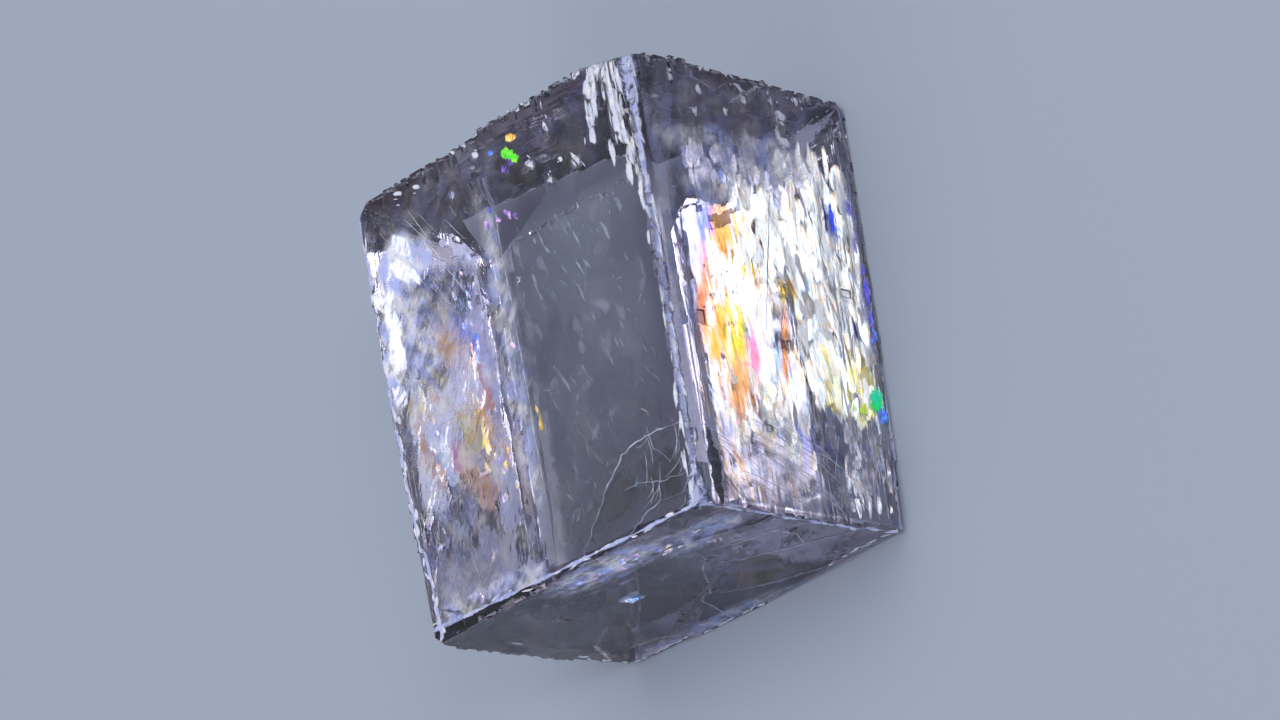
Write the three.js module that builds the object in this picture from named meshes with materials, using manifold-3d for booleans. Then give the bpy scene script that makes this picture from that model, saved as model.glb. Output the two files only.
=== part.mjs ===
// A hand specimen of clear calcite (Iceland spar): one cleavage rhomb, lying on one of its two widest
// faces. Millimetres, +Z up. The origin is under the middle of the stone, on the surface it rests on.
// +X runs along the longest edge. The blunt corner, where three obtuse angles meet, is top front left.
import * as THREE from "three";
import { ConvexGeometry } from "three/addons/geometries/ConvexGeometry.js";
import { mergeVertices } from "three/addons/utils/BufferGeometryUtils.js";
import Module from "manifold-3d";

// Driving dimensions.
const LENGTH = 32; // the edges that run along X
const WIDTH = 26; // the edges that run front to back
const DEPTH = 19.4; // the edges that rise from the surface
const RHOMB_ANGLE = 101.92; // calcite's obtuse cleavage angle, in degrees
const TERRACE_REACH = 3.8; // how far the terraces at the foot of the right-hand face stand out from it

// The three cleavage directions, each at the rhomb angle, or its supplement, to the other two.
const bend = THREE.MathUtils.degToRad(RHOMB_ANGLE);
const cosBend = Math.cos(bend);
const sinBend = Math.sin(bend);
const leanBack = (-cosBend * (1 - cosBend)) / sinBend;
const ALONG = new THREE.Vector3(1, 0, 0);
const BACK = new THREE.Vector3(cosBend, sinBend, 0);
const RISE = new THREE.Vector3(-cosBend, leanBack, Math.sqrt(1 - cosBend ** 2 - leanBack ** 2));

const step = (direction, distance) => direction.clone().multiplyScalar(distance);

// Each face: the two directions that lie in it, counter-clockwise seen from outside, and its middle.
// A cleaved face is a flight of tiny steps, so it leans a little about those two directions, in
// degrees, and lies a little further out or in, in millimetres. The bottom is flat.
const FACES = {
  top: { across: [ALONG, BACK], middle: step(RISE, DEPTH / 2), lean: [-0.6, -1.5], shift: -0.1 },
  bottom: { across: [BACK, ALONG], middle: step(RISE, -DEPTH / 2), lean: [0, 0], shift: 0 },
  front: { across: [ALONG, RISE], middle: step(BACK, -WIDTH / 2), lean: [-0.8, -0.9], shift: 0.2 },
  back: { across: [RISE, ALONG], middle: step(BACK, WIDTH / 2), lean: [0.3, 0.7], shift: 0.1 },
  left: { across: [RISE, BACK], middle: step(ALONG, -LENGTH / 2), lean: [0.9, -1.0], shift: -0.1 },
  right: { across: [BACK, RISE], middle: step(ALONG, LENGTH / 2), lean: [0.7, -0.2], shift: -0.1 },
};

for (const face of Object.values(FACES)) {
  const [first, second] = face.across;
  const normal = new THREE.Vector3().crossVectors(first, second).normalize();
  normal.applyAxisAngle(first, THREE.MathUtils.degToRad(face.lean[0]));
  normal.applyAxisAngle(second, THREE.MathUtils.degToRad(face.lean[1]));
  face.middle.addScaledVector(normal, face.shift);
  face.plane = new THREE.Plane().setFromNormalAndCoplanarPoint(normal, face.middle);
  face.lying = face.across.map((direction) => direction.clone().projectOnPlane(normal));
}

// The point where three faces meet.
function meet(...names) {
  const [a, b, c] = names.map((name) => FACES[name].plane);
  const towardsA = new THREE.Vector3().crossVectors(b.normal, c.normal);
  const towardsB = new THREE.Vector3().crossVectors(c.normal, a.normal);
  const towardsC = new THREE.Vector3().crossVectors(a.normal, b.normal);
  return towardsA
    .multiplyScalar(a.constant)
    .addScaledVector(towardsB, b.constant)
    .addScaledVector(towardsC, c.constant)
    .divideScalar(-a.normal.dot(new THREE.Vector3().crossVectors(b.normal, c.normal)));
}

const CORNERS = {};
for (const height of ["top", "bottom"])
  for (const depth of ["front", "back"])
    for (const side of ["left", "right"])
      CORNERS[`${height} ${depth} ${side}`] = meet(height, depth, side);

// A point some way along the edge from one corner to another.
function onEdge(from, to, distance) {
  const direction = CORNERS[to].clone().sub(CORNERS[from]).normalize();
  return direction.multiplyScalar(distance).add(CORNERS[from]);
}

// The two corners that an edge between two faces joins.
const endsOf = (...faces) =>
  Object.keys(CORNERS).filter((name) => faces.every((face) => name.split(" ").includes(face)));

// Numbers that look random but are the same each time.
let seed = 20;
function random(low, high) {
  seed = (seed * 1664525 + 1013904223) % 2 ** 32;
  return low + (high - low) * (seed / 2 ** 32);
}

// Solids, and the tools that cut them.
const wasm = await Module();
wasm.setup();

function solidOf(geometry) {
  const plain = geometry.clone();
  plain.deleteAttribute("normal");
  plain.deleteAttribute("uv");
  const merged = mergeVertices(plain, 1e-5);
  return new wasm.Manifold(
    new wasm.Mesh({
      numProp: 3,
      vertProperties: merged.attributes.position.array,
      triVerts: new Uint32Array(merged.index.array),
    }),
  );
}

// A block bounded by cleavages, of the given lengths along them, turned a little and set at a point.
function cleavageBlock(point, [along, back, rise], turn) {
  const shear = new THREE.Matrix4().makeBasis(step(ALONG, along), step(BACK, back), step(RISE, rise));
  const block = new THREE.BoxGeometry(1, 1, 1).applyMatrix4(shear);
  block.rotateX(random(-turn, turn)).rotateY(random(-turn, turn)).rotateZ(random(-turn, turn));
  return solidOf(block.translate(point.x, point.y, point.z));
}

// What lies past the plane through three points, on the corner's side. It is larger than the stone.
function pastPlane(points, corner) {
  const size = LENGTH + WIDTH;
  const plane = new THREE.Plane().setFromCoplanarPoints(...points);
  if (plane.distanceToPoint(CORNERS[corner]) < 0) plane.negate();
  const turn = new THREE.Quaternion().setFromUnitVectors(new THREE.Vector3(0, 0, 1), plane.normal);
  const middle = points[0].clone().addScaledVector(plane.normal, size / 2);
  const box = new THREE.BoxGeometry(size, size, size).applyQuaternion(turn);
  return solidOf(box.translate(middle.x, middle.y, middle.z));
}

// What lies over a patch of a face, from a floor up. The floor and the outline are in millimetres: the
// floor from the face, outwards, and the outline along the face's two directions, from its middle.
function overPatch(name, outline, floor) {
  const { lying, middle, plane } = FACES[name];
  const ceiling = TERRACE_REACH + 2;
  const shape = new THREE.Shape(outline.map(([x, y]) => new THREE.Vector2(x, y)));
  const slab = new THREE.ExtrudeGeometry(shape, { depth: ceiling - floor, bevelEnabled: false });
  const place = new THREE.Matrix4().makeBasis(...lying, plane.normal).setPosition(middle);
  return solidOf(slab.translate(0, 0, floor).applyMatrix4(place));
}

// A point on a face, in millimetres along its two directions from its middle.
function onFace(name, [first, second]) {
  const { lying, middle } = FACES[name];
  return middle.clone().addScaledVector(lying[0], first).addScaledVector(lying[1], second);
}

// Broken corners: the break runs through these distances down the three edges to the corners named.
const BROKEN_CORNERS = {
  "top front right": [
    { "top back right": 4.3, "bottom front right": 2.9, "top front left": 0.9 },
    { "top back right": 2.1, "bottom front right": 1.5, "top front left": 1.5 },
  ],
  "top back right": [
    { "top front right": 1.9, "top back left": 1.5, "bottom back right": 1.4 },
    { "top front right": 0.8, "top back left": 2.6, "bottom back right": 0.9 },
  ],
  "bottom front left": [
    { "bottom front right": 1.3, "top front left": 0.9, "bottom back left": 0.7 },
    { "bottom front right": 0.5, "top front left": 1.6, "bottom back left": 1.1 },
  ],
  "bottom front right": [{ "bottom front left": 1.1, "top front right": 0.8, "bottom back right": 1.4 }],
  "bottom back left": [{ "bottom front left": 1.0, "top back left": 1.2, "bottom back right": 1.6 }],
  "bottom back right": [{ "bottom front right": 1.8, "top back right": 1.3, "bottom back left": 1.0 }],
  "top back left": [{ "top front left": 0.9, "bottom back left": 1.3, "top back right": 0.8 }],
  "top front left": [{ "top front right": 0.9, "bottom front left": 0.5, "top back left": 0.6 }],
};

function brokenCorners() {
  return Object.entries(BROKEN_CORNERS).flatMap(([corner, breaks]) =>
    breaks.map((ends) => {
      const points = Object.entries(ends).map(([to, distance]) => onEdge(corner, to, distance));
      return pastPlane(points, corner);
    }),
  );
}

// The edge between the top and the front is bruised to a narrow flat, widest at the blunt corner.
function bruisedEdge() {
  const end = LENGTH / 2;
  const points = [
    onFace("top", [end, -WIDTH / 2 + 0.1]),
    onFace("top", [-end, -WIDTH / 2 + 0.6]),
    onFace("front", [-end, DEPTH / 2 - 1.5]),
  ];
  return pastPlane(points, "top front left");
}

// The right-hand face was once further out. Sheets flaked off it, and left terraces at its foot, towards
// the back: how far each stands out from the face, and its rim, from the foot up to the back.
const TERRACES = [
  { floor: 0, rim: [[-7, -12], [-4.5, -8.6], [-1.5, -5.4], [3.4, -3.7], [9, -2.3], [15, -1.2]] },
  { floor: 1.6, rim: [[-3.5, -12], [-1.5, -8], [1.5, -6.2], [6, -4.9], [15, -3.1]] },
  { floor: 2.8, rim: [[1.5, -12], [3, -8.4], [7, -6.9], [15, -5.4]] },
];

function terraces() {
  const pastTop = DEPTH / 2 + 3;
  const pastFront = -WIDTH / 2 - 3;
  const pastBottom = -DEPTH / 2 - 3;
  return TERRACES.map(({ floor, rim }) => {
    const [[footPlace]] = rim;
    const [[backPlace]] = rim.slice(-1);
    const foot = [[pastFront, pastBottom], [footPlace, pastBottom]];
    return overPatch("right", [...foot, ...rim, [backPlace, pastTop], [pastFront, pastTop]], floor);
  });
}

// Ledges, where a sheet of the stone has flaked off a face: how thick the sheet was, and its outline,
// which runs past the face's rim where the sheet did.
const LEDGES = {
  left: [
    { depth: 0.12, outline: [[11, 1], [6.6, 2], [6.3, -3.3], [5, -8], [3, -11.6], [3, -15], [11, -15]] },
    { depth: 0.3, outline: [[-11, 1.5], [-9.3, -0.5], [-8.2, -8], [-6.2, -10.4], [-5, -15], [-11, -15]] },
    { depth: 0.22, outline: [[-4, 15], [-3.4, 11.6], [-6.2, 9.9], [-7.1, 7.2], [-11, 6.5], [-11, 15]] },
  ],
  front: [
    { depth: 0.22, outline: [[-18, -7.6], [-8.8, -8.6], [-3.5, -8.9], [-1.8, -12], [-18, -12]] },
    { depth: 0.4, outline: [[-18, -8.7], [-12.6, -8.9], [-10.4, -9.3], [-9.8, -12], [-18, -12]] },
    { depth: 0.3, outline: [[18, 4.6], [14.9, 4.1], [14.3, 2.2], [15.2, 0.9], [14.6, -1.6], [18, -2.2]] },
  ],
  back: [
    { depth: 0.12, outline: [[11, -18], [8.7, -18], [8.3, -7], [8.6, 1], [7.7, 8], [7.1, 18], [11, 18]] },
    { depth: 0.25, outline: [[-11, -6.4], [-7.3, -8.2], [-6.1, -12.2], [-8.4, -18], [-11, -18]] },
  ],
  right: [
    { depth: 0.2, outline: [[-15, -3.1], [-8.8, -2.2], [-7.4, -5.2], [-9.6, -12], [-15, -12]] },
    { depth: 0.32, outline: [[15, 3.3], [8.1, 4.6], [6.2, 7.1], [1.4, 7.6], [0.9, 12], [15, 12]] },
    { depth: 0.25, outline: [[-15, 5.9], [-11.4, 6.3], [-10.2, 12], [-15, 12]] },
  ],
  bottom: [
    { depth: 0.1, outline: [[15, -9], [12.3, -8], [12, -1], [12.2, 4], [11.7, 11], [11.2, 18], [15, 18]] },
    { depth: 0.25, outline: [[-15, -11.8], [-10.9, -12.6], [-9.7, -18], [-15, -18]] },
  ],
  top: [
    { depth: 0.18, outline: [[18, 9.7], [14.8, 10.2], [13.6, 11.7], [9.4, 12.1], [8.7, 15], [18, 15]] },
    { depth: 0.2, outline: [[-18, 9.3], [-15.3, 9.6], [-14.4, 11.4], [-9.9, 11.9], [-9.2, 15], [-18, 15]] },
  ],
};

const ledges = () =>
  Object.entries(LEDGES).flatMap(([face, sheets]) =>
    sheets.map(({ depth, outline }) => overPatch(face, outline, -depth)),
  );

// Worn edges: the two faces, the usual chip along the three cleavages, the number of chips, and, where
// they don't lie on the sharp edge, how far inside it their middles are. Below zero is outside it.
const WORN_EDGES = [
  { faces: ["top", "front"], chip: [1.2, 0.5, 0.5], count: 34, inset: 0.2 },
  { faces: ["top", "right"], chip: [0.8, 0.42, 0.5], count: 32 },
  { faces: ["front", "right"], chip: [0.8, 0.5, 0.4], count: 22 },
  { faces: ["top", "back"], chip: [1.1, 0.4, 0.4], count: 24 },
  { faces: ["top", "left"], chip: [0.35, 0.9, 0.35], count: 22 },
  { faces: ["front", "left"], chip: [0.35, 0.35, 0.9], count: 16 },
  { faces: ["front", "bottom"], chip: [1.2, 0.4, 0.4], count: 24 },
  { faces: ["left", "bottom"], chip: [0.4, 0.9, 0.35], count: 22 },
  { faces: ["left", "back"], chip: [0.4, 0.4, 1], count: 14 },
  { faces: ["right", "back"], chip: [0.3, 0.3, 0.8], count: 16, inset: -0.06 },
  { faces: ["right", "bottom"], chip: [0.3, 0.8, 0.3], count: 20, inset: -0.06 },
  { faces: ["back", "bottom"], chip: [0.9, 0.28, 0.28], count: 22, inset: -0.07 },
];

function wornEdges() {
  const slack = 0.12; // how far a chip's middle strays from the edge
  const turn = 0.22; // how far a chip strays from the cleavages, in radians
  return WORN_EDGES.flatMap(({ faces, chip, count, inset = 0 }) =>
    Array.from({ length: count }, (_, i) => {
      const [from, to] = endsOf(...faces).map((name) => CORNERS[name]);
      const point = from.clone().lerp(to, (i + random(0, 1)) / count);
      point.addScaledVector(FACES[faces[0]].plane.normal, random(-slack, slack) - inset);
      point.addScaledVector(FACES[faces[1]].plane.normal, random(-slack, slack) - inset);
      const size = chip.map((length) => length * random(0.5, 1.5));
      return cleavageBlock(point, size, i % 3 === 0 ? turn : 0);
    }),
  );
}

// The lengths of a block sunk into a face: along each cleavage that lies in the face, and down into it.
const sunk = (face, inFace, depth) =>
  [ALONG, BACK, RISE].map((way) => (FACES[face].across.includes(way) ? inFace(way) : depth));

// Flutes: narrow steps that run in from the right-hand edges of the top and of the front. Each is
// given by its place across the face and by how far it reaches in from the edge.
const FLUTES = {
  top: [
    [-12.9, 6.4], [-12.4, 9.2], [-11.9, 7.3], [-11.45, 5.8], [-11, 6.1], [-10.6, 3.2], [-10.1, 2.3],
    [-9.5, 4.1], [-5.1, 1.1], [-3.2, 0.8], [2.1, 0.9], [3.5, 1.4], [4.9, 1.8], [6, 1.5], [7.6, 1], [9.1, 0.8],
  ],
  front: [
    [8.6, 2.2], [7.9, 1], [6.2, 2.1], [4.4, 1.2], [3, 1], [0.9, 1.4], [-0.4, 2.2], [-1.7, 0.9], [-3.1, 2.4],
    [-4.4, 1],
  ],
};

function flutes() {
  const overhang = 0.6; // how far a flute's block sticks out past the edge
  const turn = 0.05;
  return Object.entries(FLUTES).flatMap(([face, places]) =>
    places.map(([place, reach]) => {
      const length = reach + overhang;
      const width = random(0.3, 0.5);
      const size = sunk(face, (way) => (way === ALONG ? length : width), random(0.25, 0.55));
      return cleavageBlock(onFace(face, [LENGTH / 2 + overhang - length / 2, place]), size, turn);
    }),
  );
}

// Shallow pits on the open faces.
const PITS = {
  top: [[13.4, -5.3], [11.7, -3.4], [10.2, -7.4], [9.9, -5], [2.4, 10.2], [-6.1, 5.3], [-12.6, -2.2]],
  front: [[12.1, -3], [12.4, 4.6], [6.2, 7.4], [-2.5, 6.8], [-9.6, 2.1], [1.4, -7.2]],
  left: [[0.8, -8.1], [1.5, -5.1], [-3.4, -0.9], [6.1, -3.9], [-0.3, -11.1], [3.2, 6.6]],
  back: [[5.2, -7.7], [1.3, -13.4], [-8.1, 11.2]],
  right: [[-6.4, 3.3], [4.6, 4.8], [-9.9, -6.6], [0.7, 0.4]],
};

function pits() {
  const depth = 0.3;
  const turn = 0.1;
  return Object.entries(PITS).flatMap(([face, places]) =>
    places.map((place) => {
      const size = sunk(face, () => random(0.3, 0.9), depth);
      return cleavageBlock(onFace(face, place), size, turn);
    }),
  );
}

// The stone: the block it was before its right-hand side flaked, less all that has come off.
const block = Object.keys(CORNERS).map((name) => {
  const left = name.replace("right", "left");
  return left === name ? CORNERS[name] : onEdge(name, left, -TERRACE_REACH);
});
let stone = solidOf(new ConvexGeometry(block));
const cuts = [terraces(), brokenCorners(), bruisedEdge(), ledges(), wornEdges(), flutes(), pits()];
for (const cut of cuts.flat()) stone = stone.subtract(cut);

const { vertProperties, triVerts } = stone.getMesh();
const geometry = new THREE.BufferGeometry();
geometry.setAttribute("position", new THREE.BufferAttribute(vertProperties, 3));
geometry.setIndex(new THREE.BufferAttribute(triVerts, 1));
geometry.computeBoundingBox();
const middle = geometry.boundingBox.getCenter(new THREE.Vector3());
geometry.translate(-middle.x, -middle.y, -geometry.boundingBox.min.z);

const clearCalcite = new THREE.MeshStandardMaterial({ color: "#d6d0e4", roughness: 0.08, metalness: 0 });

const calciteRhomb = new THREE.Mesh(geometry, clearCalcite);
calciteRhomb.name = "calcite_rhomb";

const specimen = new THREE.Group();
specimen.add(calciteRhomb);

export default specimen;
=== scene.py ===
import random
from math import cos, floor, hypot, pi, radians, sin, sqrt

import bmesh
import bpy
from mathutils import Matrix, Vector
from mathutils import noise as perlin
from mathutils.bvhtree import BVHTree


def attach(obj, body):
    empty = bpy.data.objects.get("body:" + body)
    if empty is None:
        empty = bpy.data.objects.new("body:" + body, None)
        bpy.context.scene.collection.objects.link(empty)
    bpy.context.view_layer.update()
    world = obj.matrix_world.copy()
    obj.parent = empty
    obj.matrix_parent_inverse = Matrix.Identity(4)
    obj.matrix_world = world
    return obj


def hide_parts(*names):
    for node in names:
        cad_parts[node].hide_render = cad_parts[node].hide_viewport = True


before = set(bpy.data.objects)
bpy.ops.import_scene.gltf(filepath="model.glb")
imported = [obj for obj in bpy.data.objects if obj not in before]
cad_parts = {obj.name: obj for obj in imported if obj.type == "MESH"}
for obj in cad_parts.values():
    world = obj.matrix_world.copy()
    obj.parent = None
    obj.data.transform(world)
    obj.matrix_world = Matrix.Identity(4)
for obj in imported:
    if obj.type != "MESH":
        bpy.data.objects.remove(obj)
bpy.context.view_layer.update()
MM = 0.001
scene = bpy.context.scene


def add_object(name, data):
    made = bpy.data.objects.new(name, data)
    scene.collection.objects.link(made)
    return made


# -------- the camera

# Where it is, in millimetres, and its own right and up. It looks down on the stone, rolled to the left.
CAMERA_AT = Vector((-28.2, -140.45, 213.16)) * MM
CAMERA_RIGHT = Vector((-0.16279, -0.80307, -0.57322))
CAMERA_UP = Vector((0.97984, -0.19977, 0.00161))
FOCAL_PX = 3480
PHOTO_WIDTH_PX = 1280
SENSOR_MM = 36
CLIP_START = 0.01


def place_camera():
    camera = add_object("camera", bpy.data.cameras.new("camera"))
    right = CAMERA_RIGHT.normalized()
    back = right.cross(CAMERA_UP).normalized()
    up = back.cross(right)
    turn = Matrix((right, up, back)).transposed().to_4x4()
    camera.matrix_world = Matrix.Translation(CAMERA_AT) @ turn
    camera.data.sensor_width = SENSOR_MM
    camera.data.lens = FOCAL_PX / PHOTO_WIDTH_PX * SENSOR_MM
    camera.data.clip_start = CLIP_START
    scene.camera = camera


# -------- short calls for node trees

class Nodes:
    """A node tree, and short calls to build it."""

    volume = None  # the node of what fills the stone

    def __init__(self, tree):
        tree.nodes.clear()
        self.tree = tree

    def add(self, kind, **inputs):
        node = self.tree.nodes.new("ShaderNode" + kind)
        for name, value in inputs.items():
            self.put(node, name.replace("_", " "), value)
        return node

    def put(self, node, name, value):
        """Sets an input, by its name or its number, to a value or to another node's output."""
        socket = node.inputs[int(name)] if name.isdigit() else node.inputs[name]
        if isinstance(value, bpy.types.NodeSocket):
            self.tree.links.new(value, socket)
        else:
            socket.default_value = value


def material(paint):
    """Turns a function that returns a shader into one that makes the material of its name."""

    def make():
        made = bpy.data.materials.new(paint.__name__)
        made.use_nodes = True
        n = Nodes(made.node_tree)
        out = n.add("OutputMaterial", Surface=paint(n).outputs[0])
        if n.volume:
            n.put(out, "Volume", n.volume.outputs[0])
        return made

    return make


def principled(n, **values):
    return n.add("BsdfPrincipled", **values)


def vector_math(n, operation, a, b, output):
    made = n.add("VectorMath")
    made.operation = operation
    n.put(made, "0", a)
    n.put(made, "1", b)
    return made.outputs[output]


def math_node(n, operation, a, b, c=0):
    made = n.add("Math")
    made.operation = operation
    for number, value in enumerate((a, b, c)):
        n.put(made, str(number), value)
    return made.outputs[0]


def product(n, a, b):
    return math_node(n, "MULTIPLY", a, b)


def ramp_between(n, value, low, high, to_low=0, to_high=1):
    """A smooth step from to_low to to_high, as the value goes from low to high."""
    made = n.add("MapRange", Value=value, From_Min=low, From_Max=high)
    n.put(made, "To Min", to_low)
    n.put(made, "To Max", to_high)
    made.interpolation_type = "SMOOTHSTEP"
    return made.outputs[0]


def mixed(n, factor, a, b, blend="MIX"):
    made = n.add("Mix")
    made.data_type = "RGBA"
    made.blend_type = blend
    n.put(made, "0", factor)
    n.put(made, "6", a)
    n.put(made, "7", b)
    return made.outputs[2]


def attribute(n, name, output="Fac"):
    made = n.add("Attribute")
    made.attribute_name = name
    return made.outputs[output]


def millimetres(n, stretch=(1, 1, 1), turn=(0, 0, 0)):
    """The object's own coordinates in millimetres, turned by degrees and then scaled along each axis."""
    where = n.add("TexCoord")
    turned = n.add("Mapping", Vector=where.outputs["Object"])
    turned.vector_type = "POINT"
    n.put(turned, "Rotation", tuple(radians(angle) for angle in turn))
    n.put(turned, "Scale", (1 / MM, 1 / MM, 1 / MM))
    return vector_math(n, "MULTIPLY", turned.outputs[0], stretch, 0)


def noise(n, vector, scale=1, detail=2, roughness=0.5):
    made = n.add("TexNoise", Vector=vector, Scale=scale, Detail=detail, Roughness=roughness)
    return made.outputs["Fac"]


def tinted(n, colour):
    """A colour times the piece's own tint."""
    return mixed(n, 1, colour, attribute(n, "tint", "Color"), "MULTIPLY")


def soft_edges(n):
    """The opacity of a leaf: full in its middle, nothing at its rim."""
    return ramp_between(n, attribute(n, "cover"), 0.05, 0.8)


# -------- light and floor

BASE_COLOUR = (1, 0.75, 0.9, 1)
BASE_STRENGTH = 0.11

# Soft lamps in the sky: azimuth, elevation, full within and none beyond, all in degrees, colour, strength.
LAMPS = [
    (21, 47, 5, 9.5, (1, 0.97, 0.93), 4.9),
    (14, 53, 12, 32, (0.72, 0.8, 1), 0.52),
    (31, 57, 4, 13, (0.8, 0.87, 1), 0.9),
    (169, 55, 10, 50, (0.8, 0.9, 1), 0.35),
    (100, 68, 10, 28, (0.98, 0.98, 1), 3.8),
    (-100, 10, 10, 60, (0.75, 0.85, 1), 0.15),
    (-105, 15, 6, 22, (0.85, 0.9, 1), 4),
]

FLOOR_COLOUR = (0.39, 0.455, 0.55, 1)
FLOOR_ROUGHNESS = 0.6
FLOOR_HALF = 1.5
FLOOR_GAP = 0.08 * MM  # between the floor and the stone, so that they don't share a plane

BOUNCES = 24  # light crosses the stone many times before it leaves


def light_scene():
    world = bpy.data.worlds.new("studio")
    scene.world = world
    world.use_nodes = True
    n = Nodes(world.node_tree)
    where = n.add("TexCoord").outputs["Generated"]
    shader = n.add("Background", Color=BASE_COLOUR, Strength=BASE_STRENGTH).outputs[0]
    for azimuth, elevation, inner, outer, colour, strength in LAMPS:
        az, el = radians(azimuth), radians(elevation)
        direction = (sin(az) * cos(el), -cos(az) * cos(el), sin(el))
        dot = vector_math(n, "DOT_PRODUCT", where, direction, "Value")
        lobe = ramp_between(n, dot, cos(radians(outer)), cos(radians(inner)))
        lamp = n.add("Background", Color=(*colour, 1), Strength=product(n, lobe, strength))
        both = n.add("AddShader")
        n.put(both, "0", shader)
        n.put(both, "1", lamp.outputs[0])
        shader = both.outputs[0]
    n.add("OutputWorld", Surface=shader)


@material
def floor_paint(n):
    return principled(n, Base_Color=FLOOR_COLOUR, Roughness=FLOOR_ROUGHNESS)


def lay_floor():
    mesh = bpy.data.meshes.new("floor")
    corners = [(-1, -1), (1, -1), (1, 1), (-1, 1)]
    mesh.from_pydata([(x * FLOOR_HALF, y * FLOOR_HALF, -FLOOR_GAP) for x, y in corners], [], [(0, 1, 2, 3)])
    mesh.materials.append(floor_paint())
    add_object("floor", mesh)


def set_light_paths():
    cycles = scene.cycles
    for kind in ("max", "transmission", "glossy", "transparent_max"):
        setattr(cycles, kind + "_bounces", BOUNCES)
    cycles.diffuse_bounces = 3
    cycles.volume_bounces = 0
    cycles.sample_clamp_indirect = 12
    cycles.use_fast_gi = False
    scene.view_settings.view_transform = "Standard"


place_camera()
light_scene()
lay_floor()
set_light_paths()


# -------- the rhomb, in millimetres

LENGTH = 32
WIDTH = 26
DEPTH = 19.4
ANGLE = radians(101.92)
CENTRE = Vector((0.054, 0.319, 9.164))

COS, SIN = cos(ANGLE), sin(ANGLE)
LEAN_BACK = -COS * (1 - COS) / SIN
ALONG = Vector((1, 0, 0))
BACK = Vector((COS, SIN, 0))
RISE = Vector((-COS, LEAN_BACK, sqrt(1 - COS * COS - LEAN_BACK * LEAN_BACK)))

# Each face: its two directions, right-handed about the outward normal, and the way to it from the centre.
FACES = {
    "top": (ALONG, BACK, RISE * DEPTH / 2),
    "bottom": (BACK, ALONG, -RISE * DEPTH / 2),
    "front": (ALONG, RISE, -BACK * WIDTH / 2),
    "back": (RISE, ALONG, BACK * WIDTH / 2),
    "left": (RISE, BACK, -ALONG * LENGTH / 2),
    "right": (BACK, RISE, ALONG * LENGTH / 2),
}


def normal_of(face):
    first, second, _ = FACES[face]
    return first.cross(second).normalized()


def place_on(face, u, v):
    """The point at u and v along the two directions of the ideal face, from its middle."""
    first, second, out = FACES[face]
    return CENTRE + out + first * u + second * v


def edge_line(first_face, second_face):
    """The edge where two faces meet: its two ends, and the normal half way between the faces."""
    normals = [normal_of(face) for face in (first_face, second_face)]
    out = FACES[first_face][2] + FACES[second_face][2]
    way = normals[0].cross(normals[1]).normalized()
    edges = (ALONG * LENGTH, BACK * WIDTH, RISE * DEPTH)
    edge = max(edges, key=lambda step: abs(step.normalized().dot(way)))
    middle = CENTRE + out
    return middle - edge / 2, middle + edge / 2, (normals[0] + normals[1]).normalized()


def clamp(value, low=0, high=1):
    return max(low, min(high, value))


def smooth(value, low, high):
    """0 at low and 1 at high, which may be the lesser, and smooth between them."""
    t = clamp((value - low) / (high - low))
    return t * t * (3 - 2 * t)


def ripple(u, v, along, across, layer):
    """Smooth noise from about -1 to 1, by how quickly it changes along and across."""
    return perlin.noise(Vector((u * along, v * across, layer)))


def layer_of(face):
    """A place in the noise for each face, so that no two are alike."""
    return 3.7 * list(FACES).index(face)


def grid(low, high, step):
    """The places of a grid over part of a face, row by row, and the four corners of each of its cells."""
    columns = round((high[0] - low[0]) / step)
    rows = round((high[1] - low[1]) / step)
    places = [(low[0] + i * step, low[1] + j * step) for j in range(rows + 1) for i in range(columns + 1)]
    wide = columns + 1
    starts = [j * wide + i for j in range(rows) for i in range(columns)]
    return places, [(k, k + 1, k + wide + 1, k + wide) for k in starts]


class Surface:
    """Finds the stone's real surface near a point of an ideal face."""

    REACH = 4
    STONE_REACH = 0.9

    def __init__(self, mesh):
        bm = bmesh.new()
        bm.from_mesh(mesh)
        self.tree = BVHTree.FromBMesh(bm)
        bm.free()

    def under(self, point, normal, reach=REACH):
        """The surface within reach of a point, met on the way in from above it, or None off the stone."""
        start = (point + normal * reach) * MM
        place, _, _, _ = self.tree.ray_cast(start, -normal, 2 * reach * MM)
        return None if place is None else place / MM

    def on_stone(self, face, u, v):
        """The surface at a place of a face, or None where the stone is broken away."""
        return self.under(place_on(face, u, v), normal_of(face), self.STONE_REACH)

    def on(self, face, u, v, depth=0):
        """A point at some depth beneath a place of a face, whether or not the stone is whole there."""
        ideal = place_on(face, u, v)
        found = self.under(ideal, normal_of(face))
        return (found or ideal) - normal_of(face) * depth


# -------- materials

CALCITE_IOR = 1.658
STRIA_HEIGHT = 0.95e-5  # metres, on a face whose waviness is 1
CRACK_WAVE_HEIGHT = 1.0e-5

# The colours of a film of air as it thickens, by their places on a ramp.
FILM_STOPS = [
    (0.3, (0.1, 0.22, 0.9, 1)),
    (0.37, (0.35, 0.75, 1, 1)),
    (0.43, (0.9, 1, 1, 1)),
    (0.55, (1, 1, 0.95, 1)),
    (0.6, (1, 0.82, 0.22, 1)),
    (0.65, (1, 0.42, 0.08, 1)),
    (0.72, (0.7, 0.2, 0.5, 1)),
]


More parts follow.
